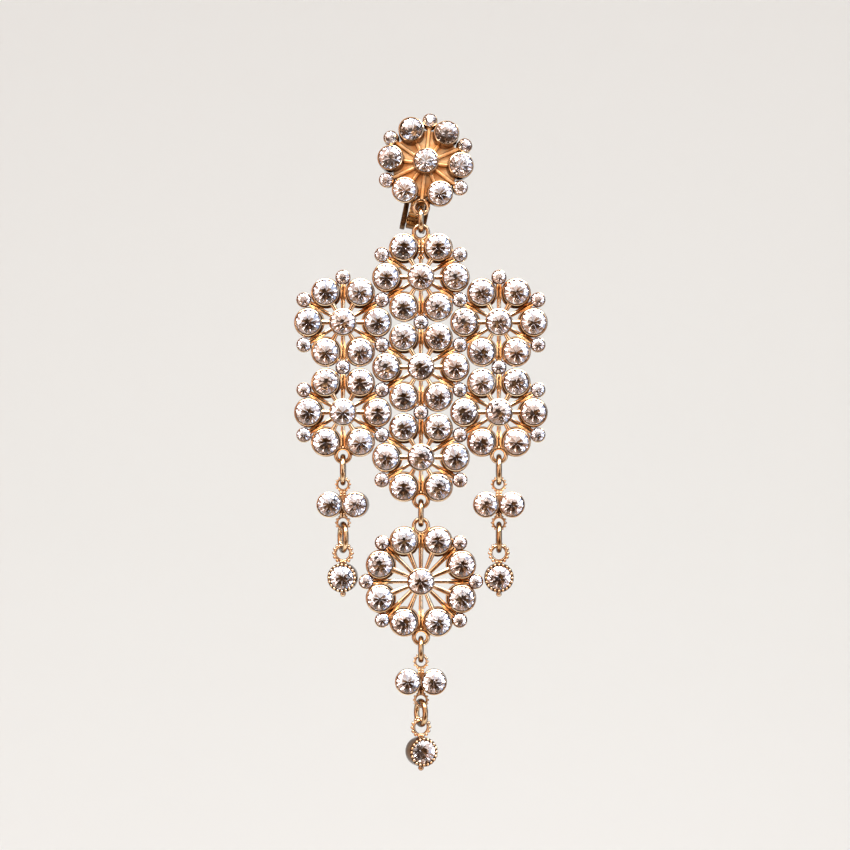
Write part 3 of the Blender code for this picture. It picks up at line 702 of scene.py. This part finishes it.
# Grooves, channels and the bracket: painted shade, a dark brown gold that hardly shines
PAINTED_SHADE_GOLD = gold_finish(
    "gold_plate_painted_shade",
    "#4A3423",
    "#755A3E",
    (0.25, 0.45),
    1.0 * MM,
    0.20 * MM,
    0.010 * MM,
)
GLASS = crystal_glass()
FOIL = stone_foil()
PLATED = (CAST, PAINTED_SHADE_GOLD)
CUT = (GLASS, FOIL)
STONE = brilliant()
SPIN = random.Random(11)

HANG_PLANE = box_centre("top_link").y
MAIN_CENTRE = Vector((box_centre("main_stone_1").x, HANG_PLANE, box_centre("main_stone_1").z))
FLOWER_SPACING = box_centre("main_stone_2").z - MAIN_CENTRE.z
PENDANT_CENTRE = Vector((MAIN_CENTRE.x, HANG_PLANE, box_centre("pendant_stone_centre").z))
SIDE_OFFSET = FLOWER_SPACING * math.cos(math.pi / 6)
COLUMNS = {
    "left": MAIN_CENTRE.x - SIDE_OFFSET,
    "right": MAIN_CENTRE.x + SIDE_OFFSET,
    "lower": MAIN_CENTRE.x,
}


def set_stone(cup, place):
    """A cut stone and its place in a cup."""
    return STONE, stone_seat(cup, place, SPIN)


def loose_stone(node, cup, place, body):
    """Cut stone in place of a stone that is a node of its own."""
    dress(node + "_cut", [set_stone(cup, place)], CUT, body, [node])


def main_flowers():
    """Flowers of the main drop in the order of their stones: middle, top, then anticlockwise."""
    centres = [Vector((0.0, 0.0, 0.0))]
    for index in range(PETALS):
        centres.append(polar(FLOWER_SPACING, math.pi / 2 + index * math.pi / 3))
    return centres


def web_rib(end):
    """Rib from a flower's middle cup out to a radius."""
    return rib(PETAL_CUP.diameter / 2 - RIB_INSET, end)


def top_grains(place, centre):
    """Two columns of grains on the web below the top loop."""
    grain = bead(WEB_GRAIN_RADIUS)
    parts = []
    for share in WEB_GRAIN_SHARES:
        for offset in (-WEB_GRAIN_OFFSET, WEB_GRAIN_OFFSET):
            spot = centre + Vector((offset, share * FLOWER_SPACING / 2, RIB_HALF))
            parts.append((grain, place @ Matrix.Translation(spot)))
    return parts


def main_drop():
    """Seven flowers in one casting, with four loops and small stones between the petals."""
    place = upright(MAIN_CENTRE)
    centres = main_flowers()
    down = Vector((0.0, -MAIN_LOOP_RADIUS, 0.0))
    loops = [centres[TOP_FLOWER] + Vector((0.0, FLOWER_SPACING / 2, 0.0))]
    loops += [centres[number] + down for number in HANGING_FLOWERS]
    petal = cup_mesh(PETAL_CUP, CUP_SEGMENTS)
    skirt = skirt_mesh()
    side = cup_mesh(SIDE_CUP, SMALL_CUP_SEGMENTS)
    short = web_rib(FLOWER_RADIUS - PETAL_CUP.diameter / 2 + RIB_INSET)
    long = web_rib(FLOWER_SPACING / 2 - RIB_INSET)
    to_loop = web_rib(MAIN_LOOP_RADIUS - loop_middle(PLAIN_LOOP))
    to_top = web_rib(FLOWER_SPACING / 2 - loop_middle(PLAIN_LOOP))
    ring = plain_loop(PLAIN_LOOP)
    metal = []
    petal_stones = []
    taken = list(loops)
    sides = []
    for number, centre in enumerate(centres):
        flower = place @ Matrix.Translation(centre)
        metal.append((petal, flower))
        loose_stone("main_stone_%d" % (number + 1), PETAL_CUP, flower, "main_drop")
        for index in range(PETALS):
            turn = index * 2 * math.pi / PETALS
            seat = flower @ at(FLOWER_RADIUS, turn)
            metal.append((petal, seat))
            metal.append((skirt, flower @ at(FLOWER_RADIUS - SKIRT_SHIFT, turn)))
            petal_stones.append(set_stone(PETAL_CUP, seat))
            metal.append((short, flower @ Matrix.Rotation(turn, 4, "Z")))
            gap = turn + math.pi / PETALS
            arm = long
            if number == TOP_FLOWER and index == UP_GAP:
                arm = to_top
            if number in HANGING_FLOWERS and index == DOWN_GAP:
                arm = to_loop
            metal.append((arm, flower @ Matrix.Rotation(gap, 4, "Z")))
            spot = centre + polar(FLOWER_SPACING / 2, gap)
            if all((spot - other).length > SIDE_CUP.diameter / 2 for other in taken):
                taken.append(spot)
                sides.append(place @ Matrix.Translation(spot))
    metal += [(side, seat) for seat in sides]
    side_stones = [set_stone(SIDE_CUP, seat) for seat in sides]
    metal += [(ring, place @ Matrix.Translation(spot)) for spot in loops]
    metal += top_grains(place, centres[TOP_FLOWER])
    nodes = ["main_setting"]
    dress("main_drop_casting", metal, PLATED, "main_drop", nodes)
    dress("main_petal_stones", petal_stones, CUT, "main_drop", nodes)
    dress("main_small_stones", side_stones, CUT, "main_drop", nodes)


def pendant():
    """Round flower of eight petals in one casting, with a loop above and one below."""
    place = upright(PENDANT_CENTRE)
    petal = cup_mesh(PETAL_CUP, CUP_SEGMENTS)
    skirt = skirt_mesh()
    side = cup_mesh(SIDE_CUP, SMALL_CUP_SEGMENTS)
    short = web_rib(PENDANT_RADIUS - PETAL_CUP.diameter / 2 + RIB_INSET)
    long = web_rib(PENDANT_SIDE_RADIUS - RIB_INSET)
    to_loop = web_rib(PENDANT_LOOP_RADIUS - loop_middle(PLAIN_LOOP))
    ring = plain_loop(PLAIN_LOOP)
    metal = [(petal, place)]
    side_stones = []
    loose_stone("pendant_stone_centre", PETAL_CUP, place, "pendant")
    step = 2 * math.pi / PENDANT_PETALS
    for index in range(PENDANT_PETALS):
        gap = index * step
        turn = gap + step / 2
        seat = place @ at(PENDANT_RADIUS, turn)
        metal.append((petal, seat))
        metal.append((skirt, place @ at(PENDANT_RADIUS - SKIRT_SHIFT, turn)))
        metal.append((short, place @ Matrix.Rotation(turn, 4, "Z")))
        loose_stone("pendant_stone_%d" % (index + 1), PETAL_CUP, seat, "pendant")
        if index in PENDANT_LOOP_GAPS:
            metal.append((to_loop, place @ Matrix.Rotation(gap, 4, "Z")))
            metal.append((ring, place @ at(PENDANT_LOOP_RADIUS, gap)))
        else:
            seat = place @ at(PENDANT_SIDE_RADIUS, gap)
            metal.append((long, place @ Matrix.Rotation(gap, 4, "Z")))
            metal.append((side, seat))
            side_stones.append(set_stone(SIDE_CUP, seat))
    nodes = ["pendant_setting"]
    dress("pendant_casting", metal, PLATED, "pendant", nodes)
    dress("pendant_small_stones", side_stones, CUT, "pendant", nodes)


def clip_frame():
    """Side view of the clip: x to the back, y up, z across the clip."""
    return Matrix.Rotation(CLIP_ROLL, 4, "Y") @ SIDE_VIEW


def stud():
    """Domed flower on its ground and pad, with the hanging loop and the clip's bracket."""
    roll = Matrix.Rotation(STUD_ROLL, 4, "Z")
    lift = Matrix.Translation((0.0, 0.0, STUD_BASE))
    flower = FACE @ roll @ lift @ Matrix.Rotation(STUD_PITCH, 4, "X")
    cup = cup_mesh(STUD_CUP, CUP_SEGMENTS)
    side = cup_mesh(STUD_SIDE_CUP, SMALL_CUP_SEGMENTS)
    start = STUD_CUP.diameter / 2 - RIB_INSET
    to_petal = bar(start, STUD_RADIUS - STUD_CUP.diameter / 2 + RIB_INSET)
    to_side = bar(start, STUD_SIDE_RADIUS - RIB_INSET)
    to_loop = bar(start, STUD_LOOP_RADIUS - loop_middle(PLAIN_LOOP))
    middle = flower @ Matrix.Translation((0.0, 0.0, STUD_CENTRE_RISE))
    metal = [(cup, middle)]
    side_stones = []
    loose_stone("stud_stone_centre", STUD_CUP, middle, "stud")
    for index in range(PETALS):
        turn = index * 2 * math.pi / PETALS
        seat = flower @ at(STUD_RADIUS, turn, 0.0, STUD_TILT)
        metal.append((cup, seat))
        metal.append((to_petal, flower @ Matrix.Rotation(turn, 4, "Z")))
        loose_stone("stud_stone_%d" % (index + 1), STUD_CUP, seat, "stud")
        gap = turn + math.pi / PETALS
        if index == DOWN_GAP:
            metal.append((to_loop, flower @ Matrix.Rotation(gap, 4, "Z")))
        else:
            seat = flower @ at(STUD_SIDE_RADIUS, gap, 0.0, STUD_SIDE_TILT)
            metal.append((to_side, flower @ Matrix.Rotation(gap, 4, "Z")))
            metal.append((side, seat))
            side_stones.append(set_stone(STUD_SIDE_CUP, seat))
    hung = flower @ Matrix.Translation((0.0, -STUD_LOOP_RADIUS, STUD_LOOP_HEIGHT))
    metal.append((plain_loop(PLAIN_LOOP), hung))
    metal.append((backing_mesh(), flower))
    metal.append((pad_mesh(), FACE))
    metal += bracket()
    nodes = ["stud_setting"]
    dress("stud_casting", metal, (CAST, PAINTED_SHADE_GOLD, SATIN), "stud", nodes)
    dress("stud_small_stones", side_stones, CUT, "stud", nodes)


def backing_mesh():
    """Solid ground behind the stud's bars, with a soft outer edge."""
    soft = 0.18 * MM
    profile = [
        (0.0, BACKING_TOP + 0.10 * MM),
        (0.5 * BACKING_RADIUS, BACKING_TOP - 0.04 * MM),
        (0.75 * BACKING_RADIUS, BACKING_TOP - 0.14 * MM),
        (BACKING_RADIUS - soft, BACKING_TOP - 0.05 * MM),
        (BACKING_RADIUS, BACKING_TOP - soft),
        (BACKING_RADIUS, BACKING_LOW + soft),
        (BACKING_RADIUS - soft, BACKING_LOW),
        (0.0, BACKING_LOW),
    ]
    # Painted light: the ground takes its gold, painted lighter
    return painted(lathe(profile, DISC_SEGMENTS), GROUND)


def pad_mesh():
    """Round pad at the stud's back, flat where it rests, with one turned ring."""
    soft = 0.20 * MM
    profile = [
        (0.0, PAD_THICKNESS),
        (PAD_RADIUS - soft, PAD_THICKNESS),
        (PAD_RADIUS, PAD_THICKNESS - soft),
        (PAD_RADIUS, soft),
        (PAD_RADIUS - soft, 0.0),
        (PAD_RADIUS - 0.70 * MM, 0.0),
        (PAD_RADIUS - 0.78 * MM, 0.08 * MM),
        (PAD_RADIUS - 0.94 * MM, 0.08 * MM),
        (PAD_RADIUS - 1.02 * MM, 0.0),
        (0.0, 0.0),
    ]
    return lathe(profile, DISC_SEGMENTS)


def cheek_outline():
    """Side of the bracket, from the pad down and back to its round end."""
    outline = [
        (-CHEEK_ROOT_DEPTH, -CHEEK_ROOT_HIGH),
        (-CHEEK_ROOT_BACK, -CHEEK_ROOT_HIGH),
        (-CHEEK_ROOT_BACK, -CHEEK_ROOT_LOW),
    ]
    for number in range(CHEEK_END_POINTS):
        point = polar(CHEEK_RADIUS, math.radians(CHEEK_END_FROM - CHEEK_END_STEP * number))
        outline.append((HINGE_BACK + point.x, -HINGE_DROP + point.y))
    outline.append((-CHEEK_ROOT_DEPTH, -CHEEK_ROOT_LOW))
    return outline


def bracket():
    """Two cheeks and the hinge pin with its domed heads, as (mesh, matrix) parts."""
    across = LEVER_WIDTH / 2 + LEVER_PLAY
    cheek = prism(cheek_outline(), -CHEEK_THICKNESS / 2, CHEEK_THICKNESS / 2)
    # The cheeks are painted dark brown as shade
    painted(cheek, PAINTED_SHADE)
    offset = across + CHEEK_THICKNESS / 2
    end = across + CHEEK_THICKNESS
    profile = [
        (0.0, end + 0.02 * MM),
        (0.7 * PIN_RADIUS, end),
        (PIN_RADIUS, end - 0.12 * MM),
        (PIN_RADIUS, -end + 0.12 * MM),
        (0.7 * PIN_RADIUS, -end),
        (0.0, -end - 0.02 * MM),
    ]
    hinge = clip_frame() @ Matrix.Translation((HINGE_BACK, -HINGE_DROP, 0.0))
    parts = [(lathe(profile, PIN_SEGMENTS), hinge)]
    for side in (-1, 1):
        parts.append((cheek, clip_frame() @ Matrix.Translation((0.0, 0.0, side * offset))))
    return parts


def smooth_path(points, steps=6):
    """Points of a soft curve through the given ones."""
    path = []
    for index in range(len(points) - 1):
        before = points[max(index - 1, 0)]
        start, end = points[index], points[index + 1]
        after = points[min(index + 2, len(points) - 1)]
        for number in range(steps):
            t = number / steps
            curve = 2 * start + (end - before) * t
            curve += (2 * before - 5 * start + 4 * end - after) * t**2
            curve += (3 * start - before - 3 * end + after) * t**3
            path.append(curve / 2)
    path.append(points[-1])
    return path


def lever_strip():
    """Strip bent from the eye at the hinge up to the paddle's back."""
    reach = CLIP_GAP + PADDLE_THICKNESS / 2 - HINGE_BACK
    bends = [
        Vector((HINGE_BACK + along * reach, -HINGE_DROP + up * HINGE_DROP))
        for along, up in LEVER_PATH
    ]
    path = smooth_path(bends)
    near = []
    far = []
    for index in range(STRIP_START, len(path)):
        after = path[min(index + 1, len(path) - 1)]
        along = (after - path[index - 1]).normalized()
        across = Vector((-along.y, along.x)) * LEVER_THICKNESS / 2
        near.append(tuple(path[index] + across))
        far.append(tuple(path[index] - across))
    half = LEVER_WIDTH / 2
    return prism(near + far[::-1], -half, half)


def lever():
    """Curved spring strip with a rolled eye and a dished round paddle."""
    side_view = clip_frame()
    half = LEVER_WIDTH / 2 - 0.02 * MM
    bore = PIN_RADIUS + PIN_PLAY
    soft = 0.08 * MM
    eye = [
        (bore, half - soft),
        (bore + soft, half),
        (EYE_RADIUS - soft, half),
        (EYE_RADIUS, half - soft),
        (EYE_RADIUS, -half + soft),
        (EYE_RADIUS - soft, -half),
        (bore + soft, -half),
        (bore, -half + soft),
        (bore, half - soft),
    ]
    edge = 0.20 * MM
    dish = [
        (0.0, 0.22 * MM),
        (0.55 * PADDLE_RADIUS, 0.16 * MM),
        (0.78 * PADDLE_RADIUS, 0.0),
        (PADDLE_RADIUS - edge, 0.0),
        (PADDLE_RADIUS, edge),
        (PADDLE_RADIUS, PADDLE_THICKNESS - edge),
        (PADDLE_RADIUS - edge, PADDLE_THICKNESS),
        (0.80 * PADDLE_RADIUS, PADDLE_THICKNESS),
        (0.74 * PADDLE_RADIUS, PADDLE_THICKNESS - 0.10 * MM),
        (0.0, PADDLE_THICKNESS - 0.04 * MM),
    ]
    hinge = Matrix.Translation((HINGE_BACK, -HINGE_DROP, 0.0))
    to_back = Matrix.Translation((CLIP_GAP, 0.0, 0.0)) @ Matrix.Rotation(math.pi / 2, 4, "Y")
    parts = [
        (lever_strip(), side_view),
        (lathe(eye, EYE_SEGMENTS), side_view @ hinge),
        (lathe(dish, DISC_SEGMENTS), side_view @ to_back),
    ]
    dress("clip_lever_strip", parts, (SPRING,), "clip_lever", ["clip_lever"])


def jump_ring(node, body, turn=0.0):
    """Round ring that hangs edge-on to the front, as far across as its solid."""
    low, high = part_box(node)
    outer = (high.z - low.z) / 2 / math.cos(math.pi / LINK_CORNERS)
    centre = (low + high) / 2
    place = Matrix.Translation(centre) @ Matrix.Rotation(math.radians(turn), 4, "Z") @ SIDE_VIEW
    ring = wire_ring(outer - LINK_WIRE / 2, LINK_WIRE, LINK_SEGMENTS)
    dress(node + "_wire", [(ring, place)], (WIRE,), body, [node])


def hung_loop(loop, beads, ball, place, height):
    """Grained loop at a height on a setting, as (mesh, matrix) parts."""
    seat = place @ Matrix.Translation((0.0, height, 0.0))
    return [(mesh, seat @ matrix) for mesh, matrix in beaded_loop(loop, beads, ball)]


def stone_pair(prefix, body, turn):
    """Two stones side by side on a grained stem, with a loop above and one below."""
    height = box_centre(prefix + "_pair_stone_1").z
    place = upright(Vector((COLUMNS[prefix], HANG_PLANE, height)), math.radians(turn))
    cup = cup_mesh(PAIR_CUP, CUP_SEGMENTS)
    metal = []
    for number, side in ((1, -1), (2, 1)):
        seat = place @ Matrix.Translation((side * PAIR_SPACING / 2, 0.0, 0.0))
        metal.append((cup, seat))
        loose_stone("%s_pair_stone_%d" % (prefix, number), PAIR_CUP, seat, body)
    top = PAIR_LOOP_UP - loop_middle(PAIR_LOOP)
    foot = -PAIR_LOOP_DOWN + loop_middle(PAIR_LOOP)
    stem = [(-STEM_HALF, foot), (STEM_HALF, foot), (STEM_HALF, top), (-STEM_HALF, top)]
    metal.append((prism(stem, -RIB_HALF, RIB_HALF), place))
    grain = bead(STEM_GRAIN_RADIUS)
    for spot in STEM_GRAIN_HEIGHTS:
        for offset in (-STEM_GRAIN_OFFSET, STEM_GRAIN_OFFSET):
            metal.append((grain, place @ Matrix.Translation((offset, spot, RIB_HALF))))
    for height in (PAIR_LOOP_UP, -PAIR_LOOP_DOWN):
        metal += hung_loop(PAIR_LOOP, PAIR_LOOP_BEADS, PAIR_LOOP_BEAD, place, height)
    nodes = [prefix + "_pair_setting"]
    dress(prefix + "_pair_casting", metal, PLATED, body, nodes)


def end_drop(prefix, body, turn):
    """Last stone in its grained cup, with a loop above and a bead below."""
    height = box_centre(prefix + "_end_stone").z
    place = upright(Vector((COLUMNS[prefix], HANG_PLANE, height)), math.radians(turn))
    # The cup's top under the grains is painted dark as shade
    channel = END_CUP.front - END_PAINTED_SHADE_DEPTH
    cup = painted(cup_mesh(END_CUP, CUP_SEGMENTS), PAINTED_SHADE, lambda middle: middle.z > channel)
    metal = [(cup, place)]
    loose_stone(prefix + "_end_stone", END_CUP, place, body)
    grain = bead(END_GRAIN_RADIUS)
    edge = END_CUP.diameter / 2 - END_GRAIN_INSET
    for number in range(END_GRAINS):
        spot = polar(edge, 2 * math.pi * number / END_GRAINS, END_CUP.front - 0.02 * MM)
        metal.append((grain, place @ Matrix.Translation(spot)))
    metal += hung_loop(END_LOOP, END_LOOP_BEADS, END_LOOP_BEAD, place, END_LOOP_UP)
    finial = Matrix.Translation((0.0, -END_BEAD_DOWN, 0.0))
    metal.append((bead(END_BEAD_RADIUS), place @ finial))
    nodes = [prefix + "_end_setting"]
    dress(prefix + "_end_casting", metal, PLATED, body, nodes)


def small_drop(prefix, body):
    """Pair of stones on its ring, and the end stone on a second ring below."""
    pair_turn, link_turn, end_turn = TURNS[prefix]
    jump_ring(prefix + "_link", body)
    jump_ring(prefix + "_end_link", body, link_turn)
    stone_pair(prefix, body, pair_turn)
    end_drop(prefix, body, end_turn)


def white_paper():
    """Matt paper: an even pale grey, hardly mottled, with no shine."""
    material, tree, shader = blank_material("matt_white_paper_sweep")
    shader.inputs["Roughness"].default_value = 0.9
    shader.inputs["Specular IOR Level"].default_value = 0.1
    tint = ramp(tree, mottle(tree, 0.4, 2.0), (0.0, "#E4E8E4"), (1.0, "#E8ECE8"))
    tree.links.new(tint, shader.inputs["Base Color"])
    return material


def backdrop():
    """Pale floor that sweeps up to a pale wall far behind."""
    foot = SWEEP_WALL - SWEEP_BEND
    profile = [(SWEEP_NEAR, SWEEP_FLOOR), (foot, SWEEP_FLOOR)]
    for angle in range(10, 91, 10):
        turn = math.radians(angle)
        rise = SWEEP_BEND - SWEEP_BEND * math.cos(turn)
        profile.append((foot + SWEEP_BEND * math.sin(turn), SWEEP_FLOOR + rise))
    profile.append((SWEEP_WALL, SWEEP_FLOOR + SWEEP_HEIGHT))
    bm = bmesh.new()
    corners = [bm.verts.new((-SWEEP_HALF, y, z)) for y, z in profile]
    for first, second in zip(corners, corners[1:]):
        bm.edges.new((first, second))
    swept = bmesh.ops.extrude_edge_only(bm, edges=bm.edges[:])
    moved = [item for item in swept["geom"] if isinstance(item, bmesh.types.BMVert)]
    bmesh.ops.translate(bm, verts=moved, vec=(2 * SWEEP_HALF, 0.0, 0.0))
    bmesh.ops.recalc_face_normals(bm, faces=bm.faces)
    sweep = bpy.data.objects.new("sweep", meshed(bm, "sweep"))
    sweep.data.materials.append(white_paper())
    bpy.context.scene.collection.objects.link(sweep)


def softbox(name, place, target, size, power, colour):
    """Area light aimed at a target, left out of the camera's own view."""
    data = bpy.data.lights.new(name, "AREA")
    data.shape = "RECTANGLE"
    data.size, data.size_y = size
    data.energy = power
    data.color = linear(colour)[:3]
    light = bpy.data.objects.new(name, data)
    light.location = place
    light.rotation_euler = (Vector(target) - light.location).to_track_quat("-Z", "Y").to_euler()
    light.visible_camera = False
    bpy.context.scene.collection.objects.link(light)


def room_world():
    """Pale room: pinkish at the left, cool at the right, brown below and dim round the lens.

    The camera itself sees plain pale grey instead.
    """
    world = bpy.data.worlds.new("studio")
    world.use_nodes = True
    tree = world.node_tree
    room = tree.nodes["Background"]
    aim = add(tree, "TexCoord").outputs["Generated"]
    parts = add(tree, "SeparateXYZ", links={"Vector": aim})
    across = remap(tree, parts.outputs["X"], -0.9, 0.9)
    walls = ramp(tree, across, (0.0, "#C4927A"), (1.0, "#9CB0D2"), (0.5, "#FFF5EC"))
    down = remap(tree, parts.outputs["Z"], -0.08, -0.50)
    seen = toned(tree, down, walls, "#AE9482")
    lens = add(tree, "VectorMath", {1: (0.05, -0.92, -0.38)}, {0: aim}, operation="DOT_PRODUCT")
    for start, end, colour in ((0.77, 0.88, "#A67A56"), (0.86, 0.94, "#3C281A")):
        front = remap(tree, lens.outputs["Value"], start, end, kind="SMOOTHSTEP")
        seen = toned(tree, front, seen, colour)
    tree.links.new(seen, room.inputs["Color"])
    room.inputs["Strength"].default_value = 1.22
    plain = add(tree, "Background", {"Color": linear("#E9E4DF"), "Strength": 1.0})
    path = add(tree, "LightPath")
    mix = add(tree, "MixShader", links={"Fac": path.outputs["Is Camera Ray"]})
    tree.links.new(room.outputs["Background"], mix.inputs[1])
    tree.links.new(plain.outputs["Background"], mix.inputs[2])
    tree.links.new(mix.outputs["Shader"], tree.nodes["World Output"].inputs["Surface"])
    return world


def studio():
    """Pale room, a wide softbox above and a faint strip at each side."""
    bpy.context.scene.world = room_world()
    middle = (0.0, 0.0, -0.036)
    softbox("overhead", (0.08, -0.264, 0.56), middle, (1.2, 0.36), 15.0, "#F6F8FF")
    softbox("left_strip", (-0.42, -0.55, 0.02), middle, (0.09, 0.7), 0.6, "#FFF1E4")
    softbox("right_strip", (0.44, -0.52, 0.06), middle, (0.09, 0.7), 0.6, "#F3F6FF")


def camera():
    """Straight in front, level with the middle of the drop, through a long lens."""
    data = bpy.data.cameras.new("front")
    data.sensor_width = 36.0
    data.lens = data.sensor_width * CAMERA_DISTANCE / CAMERA_WIDTH
    data.clip_start = 0.01
    data.clip_end = 20.0
    view = bpy.data.objects.new("front", data)
    view.location = (CAMERA_SIDE, HANG_PLANE - CAMERA_DISTANCE, CAMERA_HEIGHT)
    view.rotation_euler = (math.pi / 2, 0.0, 0.0)
    bpy.context.scene.collection.objects.link(view)
    bpy.context.scene.camera = view


stud()
lever()
jump_ring("top_link", "top_ring")
main_drop()
jump_ring("pendant_link", "pendant")
pendant()
small_drop("left", "main_drop")
small_drop("right", "main_drop")
small_drop("lower", "pendant")
backdrop()
studio()
camera()
bpy.context.scene.view_settings.view_transform = "Standard"
